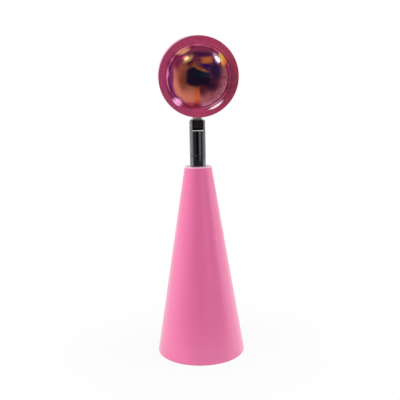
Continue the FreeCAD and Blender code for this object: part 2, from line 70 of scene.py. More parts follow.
# %% Places read from the parts, and the few sizes that a box cannot tell
cone_low, cone_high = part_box("base_cone")
pivot = np.array(joint["head_tilt"]["pos_m"])

CONE_TOP_RADIUS = 11.1 * MM
CONE_FOOT_RADIUS = 36.8 * MM
CONE_WALL = 2.2 * MM
CONE_CEILING = 3.0 * MM
STUD_HOLE_RADIUS = 5.2 * MM

HEAD_PITCH = math.radians(7.0)
HEAD_CENTRE = 39.7 * MM
SHELL_RIM_RADIUS = 31.0 * MM
SHELL_SIDE_RADIUS = 30.8 * MM
SHELL_FRONT = 13.4 * MM
SHELL_REAR = -20.0 * MM
SHELL_WALL = 2.4 * MM
SHELL_LEDGE = 0.8 * MM
BACK_ROUNDING = 17.0 * MM
RING_FACE = 16.0 * MM
RING_RADIUS = 31.2 * MM
LENS_RADIUS = 25.1 * MM
LENS_FOOT = 14.4 * MM
LENS_HEIGHT = 17.3 * MM


def to_head(points):
    """Optical frame (x right, y up, z to the light) to the lamp: (x, -z, y + centre), pitched."""
    across, up, along = points[..., 0], points[..., 1], points[..., 2]
    rear, height = -along, up + HEAD_CENTRE
    cos, sin = math.cos(HEAD_PITCH), math.sin(HEAD_PITCH)
    turned = np.stack([across, rear * cos - height * sin, rear * sin + height * cos], axis=-1)
    return turned + pivot


head_middle = to_head(np.zeros(3))
print("cone height %.1f mm, head centre at %.1f mm" % (cone_high.z / MM, head_middle[2] / MM))

# %% [markdown]
# ## Drawing outlines
# A turned part is an outline swept round an axis. Hand-placed points make wobbly corners, and the
# Bevel modifier rounds every edge alike, so the outline helper below rounds each corner by its own
# radius, with the exact arc that touches both neighbouring runs.

# %% Outline helpers
def corner_arc(before, corner, after, fillet, steps):
    """Arc that touches both runs: centre at fillet / sin(half angle) along the bisector."""
    back, ahead = before - corner, after - corner
    back, ahead = back / np.linalg.norm(back), ahead / np.linalg.norm(ahead)
    half = 0.5 * math.acos(float(np.clip(back @ ahead, -1, 1)))
    middle = (back + ahead) / np.linalg.norm(back + ahead)
    centre = corner + middle * fillet / math.sin(half)
    reach = fillet / math.tan(half)
    start, end = corner + back * reach - centre, corner + ahead * reach - centre
    sweep = math.pi - 2 * half
    t = np.linspace(0, 1, steps)[:, None]
    return centre + (start * np.sin((1 - t) * sweep) + end * np.sin(t * sweep)) / math.sin(sweep)


def outline(corners, closed=True, spacing=3 * MM, steps=7):
    """Points along (radius, height, fillet) corners; straight runs are divided evenly."""
    places = np.array([corner[:2] for corner in corners], float)
    count = len(corners)
    pieces = []
    for index, (_, _, fillet) in enumerate(corners):
        inner = closed or 0 < index < count - 1
        if fillet > 0 and inner:
            before, after = places[index - 1], places[(index + 1) % count]
            pieces.append(corner_arc(before, places[index], after, fillet, steps))
        else:
            pieces.append(places[index:index + 1])
    points = np.concatenate(pieces)
    following = np.roll(points, -1, axis=0)
    runs = [np.linspace(a, b, max(1, math.ceil(np.linalg.norm(b - a) / spacing)), endpoint=False)
            for a, b in zip(points, following)]
    if not closed:
        runs[-1] = points[-1:]
    return np.concatenate(runs)


# %% [markdown]
# ## From outline to mesh
# The outline becomes a grid of points: one row per outline point and one column per step round the
# axis. Quads join neighbours, the seam is wrapped, and points that fall together on the axis are
# merged, so the surface is closed. Sharp edges are marked by angle, and a Weighted Normal modifier
# keeps the flat faces beside a small rounding truly flat in the reflections.

# %% Mesh helpers
AROUND = 256
SHARP_ANGLE = math.radians(32)


def turned_points(profile, around=AROUND):
    """Grid of (r cos a, r sin a, h) for each profile point (r, h) and each angle a."""
    angle = np.linspace(0, 2 * math.pi, around, endpoint=False)
    radius, height = profile[:, :1], profile[:, 1:]
    flat = height + 0 * angle
    return np.stack([radius * np.cos(angle), radius * np.sin(angle), flat], axis=-1)


def grid_faces(rows, columns, wrap_rows):
    """Quads between neighbouring lines of a grid whose columns close on themselves."""
    row, column = np.meshgrid(np.arange(rows if wrap_rows else rows - 1), np.arange(columns),
                              indexing="ij")
    below, beside = (row + 1) % rows, (column + 1) % columns
    corners = [row * columns + column, row * columns + beside,
               below * columns + beside, below * columns + column]
    return np.stack(corners, axis=-1).reshape(-1, 4)


def finish_mesh(mesh):
    """Merges points that meet, turns faces outwards and marks sharp edges."""
    work = bmesh.new()
    work.from_mesh(mesh)
    bmesh.ops.remove_doubles(work, verts=work.verts, dist=1e-7)
    bmesh.ops.dissolve_degenerate(work, edges=work.edges, dist=1e-8)
    bmesh.ops.recalc_face_normals(work, faces=work.faces)
    work.to_mesh(mesh)
    work.free()
    mesh.shade_smooth()
    mesh.set_sharp_from_angle(angle=SHARP_ANGLE)


def make_piece(name, points, wrap_rows=True):
    """Object at the origin whose mesh is the grid of points."""
    rows, columns = points.shape[:2]
    mesh = bpy.data.meshes.new(name)
    mesh.from_pydata(points.reshape(-1, 3).tolist(), [], grid_faces(rows, columns, wrap_rows).tolist())
    finish_mesh(mesh)
    piece = bpy.data.objects.new(name, mesh)
    bpy.context.scene.collection.objects.link(piece)
    return piece


def even_shading(piece):
    """Shading normals weighted by face area, so that flats stay flat beside roundings."""
    weighted = piece.modifiers.new("even shading", "WEIGHTED_NORMAL")
    weighted.keep_sharp = True
    return piece


def carve(piece, tool, operation="DIFFERENCE"):
    """Cuts a tool out of a piece, or joins it on, and keeps only the result."""
    modifier = piece.modifiers.new("carve", "BOOLEAN")
    modifier.operation = operation
    modifier.object = tool
    modifier.solver = "EXACT"
    depsgraph = bpy.context.evaluated_depsgraph_get()
    carved = bpy.data.meshes.new_from_object(piece.evaluated_get(depsgraph))
    piece.modifiers.remove(modifier)
    piece.data = carved
    carved.name = piece.name
    finish_mesh(carved)
    bpy.data.objects.remove(tool)


def stadium(width, height, steps=12):
    """Closed outline with straight top and bottom and half-round sides, as (x, z)."""
    angle = np.linspace(-math.pi / 2, math.pi / 2, steps)
    side = np.stack([np.cos(angle), np.sin(angle)], axis=-1) * height / 2
    offset = np.array([(width - height) / 2, 0])
    return np.concatenate([side + offset, -side - offset])


def bar_along_y(name, section, start, end, centre_height):
    """Solid bar: the (x, z) section at two places along Y, closed by a point at each end."""
    middle = np.zeros_like(section)
    rings = []
    for shape, y in ((middle, start), (section, start), (section, end), (middle, end)):
        rings.append(np.stack([shape[:, 0], np.full(len(shape), y), shape[:, 1] + centre_height], -1))
    return make_piece(name, np.stack(rings), wrap_rows=False)


# %% [markdown]
# ## The cone
# On the real lamp the cone is one smooth moulding, satin pink, with a softly rounded top edge that
# catches a pale line of light. A turned outline with inner wall gives it real thickness, seen at
# the foot and at the inlet. The inlet's doorway is cut with a Boolean, which leaves a clean edge.

# %% Make the cone
cone_slope = (CONE_FOOT_RADIUS - CONE_TOP_RADIUS) / (cone_high.z - cone_low.z)
cone_across = CONE_WALL * math.sqrt(1 + cone_slope ** 2)
ceiling = cone_high.z - CONE_CEILING
ceiling_radius = CONE_TOP_RADIUS + cone_slope * CONE_CEILING - cone_across
cone_outline = outline([
    (CONE_FOOT_RADIUS, cone_low.z, 0.4 * MM),
    (CONE_TOP_RADIUS, cone_high.z, 0.8 * MM),
    (STUD_HOLE_RADIUS, cone_high.z, 0),
    (STUD_HOLE_RADIUS, ceiling, 0),
    (ceiling_radius, ceiling, 0.6 * MM),
    (CONE_FOOT_RADIUS - cone_across, cone_low.z, 0.3 * MM),
], spacing=5 * MM)
cone = make_piece("cone_moulding", turned_points(cone_outline))

trim_low, trim_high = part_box("inlet_bezel")
DOOR_CLEARANCE = 0.1 * MM
door_width = trim_high.x - trim_low.x + DOOR_CLEARANCE
door_height = trim_high.z - trim_low.z + DOOR_CLEARANCE
door_centre = (trim_low.z + trim_high.z) / 2
doorway = bar_along_y("doorway", stadium(door_width, door_height), trim_low.y, 2 * trim_high.y,
                      door_centre)
carve(cone, doorway)
even_shading(cone)
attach(cone, "base")
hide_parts("base_cone")
print("cone faces:", len(cone.data.polygons))

# %% [markdown]
# ## The head's housing
# The housing is a round pink cup, open in front and generously rounded behind. Its wall and stepped
# bore come from the same outline. Ten radial slots let the warm air out at the back, and a low
# round boss meets the stem underneath.

# %% Make the housing
bore_radius = SHELL_SIDE_RADIUS - SHELL_WALL
thread_radius = bore_radius + SHELL_LEDGE
LEDGE_HEIGHT = 8.9 * MM
housing_outline = outline([
    (0, SHELL_REAR, 0),
    (SHELL_SIDE_RADIUS, SHELL_REAR, BACK_ROUNDING),
    (SHELL_RIM_RADIUS, SHELL_FRONT, 0.3 * MM),
    (thread_radius, SHELL_FRONT, 0),
    (thread_radius, LEDGE_HEIGHT, 0),
    (bore_radius, LEDGE_HEIGHT, 0),
    (bore_radius, SHELL_REAR + SHELL_WALL, BACK_ROUNDING - SHELL_WALL),
    (0, SHELL_REAR + SHELL_WALL, 0),
], closed=False, spacing=3 * MM, steps=25)
housing = make_piece("head_housing", turned_points(housing_outline), wrap_rows=False)

VENTS = 10
VENT_WIDTH = 1.6 * MM
VENT_LENGTH = 6.5 * MM
VENT_MIDDLE = 8.75 * MM
vent = stadium(VENT_LENGTH, VENT_WIDTH, steps=7)
vent_start, vent_end = SHELL_REAR - SHELL_WALL, SHELL_REAR + 2 * SHELL_WALL
for index in range(VENTS):
    turn = 2 * math.pi * (index + 0.5) / VENTS
    spin = np.array([[math.cos(turn), math.sin(turn)], [-math.sin(turn), math.cos(turn)]])
    slot_outline = (vent + np.array([VENT_MIDDLE, 0])) @ spin
    middle = np.repeat(slot_outline.mean(axis=0)[None], len(slot_outline), axis=0)
    depth = [vent_start, vent_start, vent_end, vent_end]
    rings = [np.column_stack([shape, np.full(len(shape), z)])
             for shape, z in zip((middle, slot_outline, slot_outline, middle), depth)]
    carve(housing, make_piece("vent", np.stack(rings), wrap_rows=False))

BOSS_RADIUS = 4.8 * MM
STEM_LENGTH = 8.4 * MM
BOSS_SINK = 1.2 * MM
boss_low, boss_top = STEM_LENGTH - HEAD_CENTRE, BOSS_SINK - SHELL_SIDE_RADIUS
boss_outline = outline([(0, boss_low, 0), (BOSS_RADIUS, boss_low, 0.4 * MM), (BOSS_RADIUS, boss_top, 0),
                        (0, boss_top, 0)], closed=False, spacing=1 * MM)
boss_grid = turned_points(boss_outline, 96)
boss_grid = np.stack([boss_grid[..., 0], boss_grid[..., 2], boss_grid[..., 1]], axis=-1)
carve(housing, make_piece("boss", boss_grid, wrap_rows=False), "UNION")

spots = np.zeros(len(housing.data.vertices) * 3)
housing.data.vertices.foreach_get("co", spots)
housing.data.vertices.foreach_set("co", to_head(spots.reshape(-1, 3)).ravel())
finish_mesh(housing.data)
even_shading(housing)
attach(housing, "head")
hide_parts("head_shell")
print("housing faces:", len(housing.data.polygons))

# %% [markdown]
# ## The ring
# The deep rose ring caps the housing's mouth and holds the lens by its flange. Its inner edge slopes
# down to the dome, so that light reaches the joint. A thin skirt goes into the housing's bore.

# %% Make the rose ring
RING_GAP = 0.05 * MM
RING_EDGE = 1.5 * MM
THREAD_CLEARANCE = 0.05 * MM
SKIRT_WALL = 0.8 * MM
SKIRT_DEPTH = 3.3 * MM
ring_inner = LENS_RADIUS + RING_GAP
skirt_outer = thread_radius - THREAD_CLEARANCE
skirt_inner = skirt_outer - SKIRT_WALL
skirt_low = SHELL_FRONT - SKIRT_DEPTH
ring_outline = outline([
    (ring_inner, RING_FACE - RING_EDGE, 0.2 * MM),
    (ring_inner + RING_EDGE, RING_FACE, 0.8 * MM),
    (RING_RADIUS, RING_FACE, 0.6 * MM),
    (RING_RADIUS, SHELL_FRONT, 0.1 * MM),
    (skirt_outer, SHELL_FRONT, 0),
    (skirt_outer, skirt_low, 0.1 * MM),
    (skirt_inner, skirt_low, 0.1 * MM),
    (skirt_inner, SHELL_FRONT, 0),
    (ring_inner, SHELL_FRONT, 0.1 * MM),
], spacing=1.5 * MM, steps=14)
rose_ring = even_shading(make_piece("rose_ring", to_head(turned_points(ring_outline))))
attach(rose_ring, "head")
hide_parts("front_bezel")

# %% [markdown]
# ## The dome
# The lens is a thick dome, a cap of a sphere: a base radius r and a height h fix the sphere's radius
# at (r^2 + h^2) / 2h. It is drawn with fine rows, because every reflection on the lamp's face slides
# over it.

# %% Make the dome lens
FLANGE_RADIUS = 27.9 * MM
FLANGE_LOW = 10.9 * MM
CAP_ROWS = 90
sphere_radius = (LENS_RADIUS ** 2 + LENS_HEIGHT ** 2) / (2 * LENS_HEIGHT)
cap_angle = math.asin(LENS_RADIUS / sphere_radius)
cap = np.linspace(0, cap_angle, CAP_ROWS)
sphere_middle = LENS_FOOT + LENS_HEIGHT - sphere_radius
cap_outline = np.column_stack([sphere_radius * np.sin(cap), sphere_middle + sphere_radius * np.cos(cap)])
rim_outline = np.array([(LENS_RADIUS, SHELL_FRONT), (FLANGE_RADIUS, SHELL_FRONT),
                        (FLANGE_RADIUS, FLANGE_LOW), (0, FLANGE_LOW)])
dome_outline = np.concatenate([cap_outline, rim_outline])
dome = make_piece("dome_glass", to_head(turned_points(dome_outline)), wrap_rows=False)
even_shading(dome)
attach(dome, "head")
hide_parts("dome_lens")
print("dome sphere radius %.1f mm" % (sphere_radius / MM))

# %% [markdown]
# ## Writing shader maths as plain Python
# Node trees get long when each sum is placed by hand. The small class below wraps a socket, so that
# `1 - mask * 0.5` in Python adds the Math nodes that do it. The Finish class holds one material
# with its Principled shader, and one method adds any other node.

# %% The socket and finish classes
class Socket:
    """A shader value that Python arithmetic works on."""

    def __init__(self, finish, link):
        self.finish = finish
        self.link = link

    def math(self, operation, *values, clamp=False):
        settings = {"operation": operation, "use_clamp": clamp}
        return self.finish.add("ShaderNodeMath", settings, dict(enumerate(values)))

    def __add__(self, other):
        return self.math("ADD", self, other)

    def __sub__(self, other):
        return self.math("SUBTRACT", self, other)

    def __rsub__(self, other):
        return self.math("SUBTRACT", other, self)

    def __mul__(self, other):
        return self.math("MULTIPLY", self, other)

    def __truediv__(self, other):
        return self.math("DIVIDE", self, other)

    def __pow__(self, other):
        return self.math("POWER", self, other)

    def __abs__(self):
        return self.math("ABSOLUTE", self)

    __radd__ = __add__
    __rmul__ = __mul__

    def sine(self):
        return self.math("SINE", self)

    def clamped(self):
        return self.math("ADD", self, 0.0, clamp=True)


class Finish:
    """A material under construction: a Principled shader and the nodes that feed it."""

    def __init__(self, name, **constants):
        self.material = bpy.data.materials.new(name)
        self.material.use_nodes = True
        self.tree = self.material.node_tree
        self.shader = self.tree.nodes["Principled BSDF"]
        for socket, value in constants.items():
            self.shader.inputs[socket.replace("_", " ")].default_value = value

    def add(self, kind, settings=None, inputs=None, out=0):
        """Adds a node: its settings first, then the values or links of its sockets."""
        made = self.tree.nodes.new(kind)
        for name, value in (settings or {}).items():
            if name == "stops":
                self.set_stops(made.color_ramp, value)
            else:
                setattr(made, name, value)
        for name, value in (inputs or {}).items():
            if isinstance(value, Socket):
                self.tree.links.new(value.link, made.inputs[name])
            else:
                made.inputs[name].default_value = value
        return Socket(self, made.outputs[out])

    def set_stops(self, ramp, stops):
        """Puts (place, colour) stops on a colour ramp that starts with two."""
        for _ in range(len(stops) - 2):
            ramp.elements.new(0.5)
        for element, (place, colour) in zip(ramp.elements, stops):
            element.position = place
            element.color = (*colour, 1) if len(colour) == 3 else colour

    def feed(self, **links):
        """Links values to the Principled shader's own sockets."""
        for socket, value in links.items():
            self.tree.links.new(value.link, self.shader.inputs[socket.replace("_", " ")])
        return self

    def place(self):
        """The point on the piece, in metres, in its own object frame."""
        return self.add("ShaderNodeTexCoord", out="Object")

    def axes(self, where=None):
        """The x, y and z of a point, by default the one on the piece."""
        where = where or self.place()
        return [self.add("ShaderNodeSeparateXYZ", {}, {"Vector": where}, out=axis)
                for axis in range(3)]

    def looked_at(self):
        """1 on rays from the camera, a mirror or a glass, 0 on rays that only gather light."""
        camera_ray, mirror_ray, glass_ray = [self.add("ShaderNodeLightPath", out=f"Is {kind} Ray")
                                             for kind in ("Camera", "Glossy", "Transmission")]
        return (camera_ray + mirror_ray + glass_ray).clamped()

    def noise(self, size, where=None, detail=2.0, stretch=None):
        """Soft random value from 0 to 1, whose blotches are about `size` metres across."""
        where = where or self.place()
        if stretch:
            where = self.add("ShaderNodeMapping", {}, {"Vector": where, "Scale": stretch})
        return self.add("ShaderNodeTexNoise", {},
                        {"Vector": where, "Scale": 1 / size, "Detail": detail})

    def blend(self, mask, first, second):
        """Colour that goes from the first to the second as the mask goes from 0 to 1."""
        return self.add("ShaderNodeMix", {"data_type": "RGBA"},
                        {"Factor": mask, 6: first, 7: second}, out=2)

    def bumps(self, height, depth, strength):
        """Normal bent by a height value, where 1 stands `depth` metres proud."""
        return self.add("ShaderNodeBump", {}, {"Strength": strength, "Distance": depth, "Height": height})

    def ramp(self, value, *stops):
        return self.add("ShaderNodeValToRGB", {"stops": stops}, {"Fac": value})


def colour(red, green, blue):
    """Colour as shown on a screen, 0 to 255, turned into the linear light that shaders use."""
    shown = np.array([red, green, blue]) / 255
    linear = np.where(shown <= 0.04045, shown / 12.92, ((shown + 0.055) / 1.055) ** 2.4)
    return (*linear.tolist(), 1.0)


def step(value, low, high):
    """0 below low, 1 above high, straight between."""
    return ((value - low) / (high - low)).clamped()


def inside(size, edge):
    """1 well inside an oval and 0 well outside; size is 1 on its line: (1 + edge / 2 - size) / edge."""
    return ((1 + edge / 2 - size) / edge).clamped()


def wear(piece, finish):
    """Gives a piece one finish all over."""
    piece.data.materials.clear()
    piece.data.materials.append(finish.material)


# %% [markdown]
# ## Satin pink plastic
# The cone and the housing are moulded from one pink plastic. Close up, such plastic is never one
# flat colour: the pigment flows in faint clouds, the gloss varies a little, and the surface has the
# very fine grain of its mould. Noise at three scales gives these, each of them weak. The rounded
# top edge of the cone is painted paler, as in the photograph: a painted highlight for its line of light.

# %% Mix the pink plastic
pink = Finish("satin pink plastic", Coat_Weight=1.0, Coat_Roughness=0.26, Coat_IOR=1.6)
clouds = pink.noise(0.06, detail=3)
streaks = pink.noise(0.02, stretch=(1, 1, 0.25))
grain = pink.noise(0.0006, detail=1)
tint = (clouds * 0.6 + streaks * 0.4).clamped()
body = pink.blend(tint, colour(229, 105, 156), colour(235, 112, 164))
# Painted highlight: the cone's rounded top edge and its top face are painted paler where they catch a line of
# light.
LIP_DEPTH, LIP_ABOVE, LIP_SOFT = 1.1 * MM, 1.0 * MM, 0.5 * MM
level = pink.axes()[2]
above = ((level - (cone_high.z - LIP_DEPTH)) / LIP_SOFT).clamped()
below = (((cone_high.z + LIP_ABOVE) - level) / LIP_SOFT).clamped()
lip_highlight = above * below
pink.feed(Base_Color=pink.blend(lip_highlight, body, colour(252, 206, 224)),
          Roughness=0.33 + 0.08 * clouds + 0.03 * grain,
          Normal=pink.bumps(grain, 0.02 * MM, 0.25))
for piece in (cone, housing, node["inlet_bezel"]):
    wear(piece, pink)

# %% [markdown]
# ## Deep rose ring
# The ring is clear-coated and darker, a little more purple on one side. A weak gradient across it
# and a fine turned grain round its axis keep it from looking flat. Its inner edge is painted paler,
# painted light against the shade of the joint. Two highlights on its inner edge are painted and
# glow weakly, because the dome hides from them the lights that would make them.

# %% Mix the rose ring's finish
def optical(finish):
    """Object point seen in the head's optical frame: moved to its centre and turned back."""
    settings = {"vector_type": "TEXTURE"}
    values = {"Vector": finish.place(), "Location": tuple(head_middle),
              "Rotation": (math.pi / 2 + HEAD_PITCH, 0, 0)}
    where = finish.add("ShaderNodeMapping", settings, values)
    return where, finish.axes(where)


rose = Finish("deep rose plastic", Coat_Weight=1.0, Coat_Roughness=0.06, Coat_IOR=1.6,
              Emission_Strength=1.0)
_, (across, up, _) = optical(rose)
side = (across / (2 * SHELL_RIM_RADIUS) + 0.5).clamped()
distance = (across * across + up * up) ** 0.5
turning = rose.add("ShaderNodeTexNoise", {"noise_dimensions": "1D"},
                   {"W": distance, "Scale": 1 / (0.25 * MM), "Detail": 1.0})
cloud = rose.noise(0.012)
shade = (side * 0.8 + cloud * 0.2).clamped()
face = rose.blend(shade, colour(177, 62, 111), colour(183, 60, 87))
# Painted light: the ring's inner edge is painted paler, against the shade in the joint by the dome.
inner_edge_painted_light = ((27.2 * MM - distance) / (1.4 * MM)).clamped()
ring_tone = rose.blend(inner_edge_painted_light, face, colour(206, 88, 130))


def sheen(bearing, reach, spread):
    """1 on a soft patch of the ring's inner edge, at a bearing in degrees, and 0 elsewhere."""
    along_x, along_y = math.cos(math.radians(bearing)), math.sin(math.radians(bearing))
    ahead = ((across * along_x + up * along_y) / MM).clamped()
    radial = distance / MM - reach
    sideways = (up * along_x - across * along_y) / MM
    size = (radial * radial / spread[0] ** 2 + sideways * sideways / spread[1] ** 2) ** 0.5
    return inside(size, 0.7) * ahead


pink_gleam = sheen(-133, 26.0, (1.2, 3.6))
white_arc = sheen(-58, 26.1, (0.7, 5.8))
ring_tone = rose.blend(pink_gleam, ring_tone, colour(255, 196, 232))
ring_tone = rose.blend(white_arc, ring_tone, colour(255, 250, 252))
gleam = rose.blend(pink_gleam, (0, 0, 0, 1), (0.30, 0.12, 0.24, 1))
gleam = rose.blend(white_arc, gleam, (0.55, 0.50, 0.52, 1))
rose.feed(Base_Color=ring_tone, Emission_Color=gleam,
          Roughness=0.22 + 0.1 * cloud,
          Normal=rose.bumps(turning, 0.01 * MM, 0.2))
wear(rose_ring, rose)

# %% [markdown]
# ## The coated dome
# The lens carries a colour coating that throws back copper, mauve and navy, as oil on water does.
# Its reflection of the room is painted into the colour as a few broad lobes over a ground that
# turns from copper to mauve: a painted reflection, with a painted dark core where the camera side
# shows and painted highlights where the lamps show. The rim is painted a plain pale pink and is
# less metallic, painted light so that its steep edge doesn't go dark. Each lobe is a soft-edged oval
# in the optical frame, and one slow noise bends them all, so that no oval looks drawn.

# %% Mix the dome's finish
glass = Finish("coated dome glass with painted reflection", Roughness=0.09, Coat_Weight=0.15,
               Coat_Roughness=0.03, Specular_IOR_Level=0.1)
where, (across, up, _) = optical(glass)
wander = glass.noise(0.009, where=where, detail=2)
drift = glass.noise(0.007, where=where, detail=2, stretch=(1, -1, 1))
mottle = glass.noise(0.0022, where=where, detail=3)
BEND = 3.0 * MM
PATTERN_SHIFT = 0.6 * MM
wandering = across + BEND * (wander - 0.5)
up_bent = up + BEND * (drift - 0.5)
reach = (wandering * wandering + up_bent * up_bent) ** 0.5 / MM
across_bent = wandering - PATTERN_SHIFT


def lobe(centre, half, edge, turn=0, corner=2):
    """1 inside an oval turned by some degrees; its size is (|l|^n + |s|^n)^(1/n) with n the corner."""
    cos, sin = math.cos(math.radians(turn)), math.sin(math.radians(turn))
    right, top = across_bent / MM - centre[0], up_bent / MM - centre[1]
    long = (right * cos + top * sin) / half[0]
    short = (top * cos - right * sin) / half[1]
    return inside((abs(long) ** corner + abs(short) ** corner) ** (1 / corner), edge)


ground = glass.blend(step(across_bent / MM, -9, 3), colour(196, 108, 86), colour(160, 78, 84))
ripples = (reach * 2.6).sine() * 0.5 + 0.5
ground = glass.blend(step(up_bent / MM, 8, 14), ground,
                     glass.blend(ripples, colour(120, 46, 88), colour(168, 72, 98)))
ground = glass.blend(step(reach, 20.0, 21.6), ground, colour(146, 46, 84))
# Painted light: the dome's rim is painted pale pink, so that the shade at its steep edge by the ring doesn't show.
ground = glass.blend(step(reach, 23.2, 24.4), ground, colour(226, 116, 160))
# Painted reflection of the room: the navy core paints the dark camera side, and the glints, the yellow and amber
# corners and the pink gleam at the rim are painted highlights.
PAINTED_REFLECTION_LOBES = [
    ("purple rim on the left", (-22.3, -2.1), (2.0, 13), 0.7, 0, 2, (104, 24, 88)),
    ("purple rim lower left", (-17.2, -16.6), (1.8, 6), 0.8, 42, 2, (118, 30, 92)),
    ("magenta upper left", (-17.9, 11.9), (2.6, 6), 0.9, 0, 2, (140, 38, 82)),
    ("mauve on the right", (11.5, -1.5), (5.5, 8), 0.8, 0, 2, (128, 56, 78)),
    ("dull rose lower right", (9.5, -13), (7, 5), 0.8, 20, 2, (160, 78, 92)),
    ("brown hollow", (-8.2, 12.0), (2.4, 3.0), 0.8, 0, 2, (110, 38, 46)),
    ("violet roof", (2.0, 17.8), (7, 1.7), 0.8, 0, 2, (96, 40, 92)),
    ("navy swirl", (10.6, 5.6), (5.2, 6.0), 0.9, 0, 2, (66, 34, 80)),
    ("brown beside the core", (-12.6, 0.5), (3.6, 6.5), 1.0, 0, 2, (150, 74, 58)),
    ("dusk below the core", (6.2, -5.2), (5.2, 4.0), 1.0, -25, 2, (84, 38, 62)),
    ("navy core", (-2.2, 1.7), (9.1, 7.1), 0.3, 0, 4, (42, 26, 54)),
    ("teal heart", (-1.8, 3.8), (4.5, 2.6), 1.0, 0, 2, (30, 44, 60)),
    ("violet streak", (4.0, 9.6), (4.5, 1.3), 0.8, -10, 2, (66, 26, 110)),
    ("copper streak", (-1.0, 7.6), (6.2, 1.0), 0.9, -23, 2, (196, 108, 70)),
    ("amber bar", (4.4, 13.5), (3.7, 2.0), 0.7, 0, 4, (255, 142, 78)),
    ("dark root", (1.0, -8.8), (3.6, 4.0), 0.9, 20, 2, (100, 34, 46)),
    ("amber streak", (-3.4, -12.5), (2.1, 5.4), 0.6, 0, 4, (196, 88, 46)),
    ("crimson foot", (-6.8, -21.0), (6.5, 2.4), 0.9, 0, 2, (150, 26, 54)),
    ("mauve foot", (5.4, -19.8), (6, 2.2), 0.9, 10, 2, (176, 92, 124)),
    ("peach glint", (-12.6, 19.6), (4.6, 1.5), 0.9, 24, 2, (255, 190, 146)),
    ("cream glint", (-9.6, 14.5), (3.7, 1.6), 0.9, 32, 2, (255, 206, 138)),
    ("amber corner", (17.9, 13.4), (2.2, 4.0), 0.7, 0, 3, (255, 156, 50)),
    ("yellow corner", (15.7, 15.2), (1.8, 3.4), 0.8, 20, 2, (255, 228, 120)),
    ("pale glint", (11.8, 14.4), (1.7, 3.6), 0.8, 20, 2, (240, 208, 246)),
    ("pink gleam at the rim", (-16.4, -17.6), (3.4, 1.5), 0.8, -43, 2, (255, 196, 232)),
]
painted_reflection = ground
for name, centre, half, edge, turn, corner, tone in PAINTED_REFLECTION_LOBES:
    painted_reflection = glass.blend(lobe(centre, half, edge, turn, corner), painted_reflection, colour(*tone))
# Painted reflection: a dark mottle on the lower right.
speckled = 0.6 * step(mottle, 0.45, 0.62) * step(across_bent / MM, 4, 9) * step(up_bent / MM * -1, -6, 0)
painted_reflection = glass.blend(speckled, painted_reflection, colour(70, 28, 66))
glass.feed(Base_Color=painted_reflection, Metallic=0.6 - 0.6 * step(reach, 23.4, 24.6),
           Normal=glass.bumps(wander, 0.2 * MM, 0.1))
wear(dome, glass)
print("lobes of colour on the dome:", len(PAINTED_REFLECTION_LOBES))

# %% [markdown]
# ## Metals, rubber and the small parts
# The neck is a dark bright chrome, and the hinge's stem is satin steel, painted dark between the
# cheeks as painted shade. The rest of the metal is plain: zinc on the screws, aluminium behind the lens, cast iron
# in the foot. Each has noise in its gloss, because no real metal part
# is equally polished all over.

# %% Mix the other finishes
def metal(name, light, dark, rough, spread, grain_size, stretch=None):
    """Metal whose colour and gloss vary together with a noise of the given grain."""
    finish = Finish(name, Metallic=1.0)
    grain = finish.noise(grain_size, stretch=stretch)
    finish.feed(Base_Color=finish.blend(grain, dark, light), Roughness=rough + spread * grain,
                Normal=finish.bumps(grain, 0.01 * MM, 0.2))
    return finish


def moulded(name, light, dark, rough, grain_size):
    """Plain plastic, rubber or lacquer with a fine moulded grain."""
    finish = Finish(name)
    grain = finish.noise(grain_size)
    patches = finish.noise(20 * grain_size)
    finish.feed(Base_Color=finish.blend(patches, dark, light), Roughness=rough + 0.1 * patches,
                Normal=finish.bumps(grain, 0.03 * MM, 0.3))
    return finish


chrome = metal("dark bright chrome", colour(132, 128, 134), colour(124, 120, 127), 0.045, 0.03, 0.004)
satin = Finish("satin steel of the hinge", Metallic=0.45)
satin_grain = satin.noise(0.002)
pivot_height = joint["head_tilt"]["pos_m"][2]
# Painted shade: the stem is painted near black below the fork's top, where shade falls between the cheeks.
above_painted_shade = step(satin.axes()[2], pivot_height + 4.0 * MM, pivot_height + 5.6 * MM)
steel = satin.blend(satin_grain, colour(138, 135, 140), colour(156, 153, 157))
satin.feed(Base_Color=satin.blend(above_painted_shade, colour(36, 34, 37), steel),
           Roughness=0.36 + 0.1 * satin_grain, Normal=satin.bumps(satin_grain, 0.01 * MM, 0.2))
zinc = metal("zinc plate", colour(190, 192, 196), colour(150, 152, 158), 0.28, 0.15, 0.0015)
aluminium = metal("spun aluminium", colour(214, 214, 218), colour(190, 190, 195), 0.25, 0.12, 0.001)
iron = metal("cast iron", colour(70, 70, 74), colour(38, 38, 40), 0.55, 0.2, 0.0012)
rubber = moulded("foam rubber", colour(44, 43, 44), colour(28, 28, 29), 0.8, 0.0005)
black = moulded("black plastic", colour(30, 30, 32), colour(18, 18, 20), 0.42, 0.0005)
pale = moulded("pale plastic", colour(226, 200, 208), colour(212, 184, 194), 0.5, 0.0006)
green = moulded("green laminate", colour(34, 98, 58), colour(22, 74, 44), 0.35, 0.0004)
white = moulded("white lacquer", colour(232, 232, 228), colour(214, 214, 208), 0.4, 0.0004)
yellow = moulded("yellow silicone", colour(232, 190, 60), colour(214, 168, 40), 0.3, 0.0006)

finish_of_slot = {"pink_body": pink, "rose_ring": rose, "iridescent_lens": glass, "chrome": chrome,
                  "black_plastic": black, "pale_plastic": pale, "rubber": rubber, "iron": iron,
                  "steel": zinc, "aluminium": aluminium, "board": green, "white_board": white,
                  "phosphor": yellow, "lead_jacket": black}
for entry in frame["record"]["subparts"]:
    wear(node[entry["node"]], finish_of_slot[entry["material_slot"]])
wear(node["hinge_stem"], satin)

# %% [markdown]
# ## A small white studio
# The photograph has a white ground, a bright light on each side and a darker camera side. The floor
# and the world are white where the camera, a mirror or a glass looks at them, and the floor still
# takes the lamp's soft shadow. Away from the lamp the floor turns fully white, so that no horizon
# shows. Reflections find it white round the foot, and dark in front, as a table in a room.

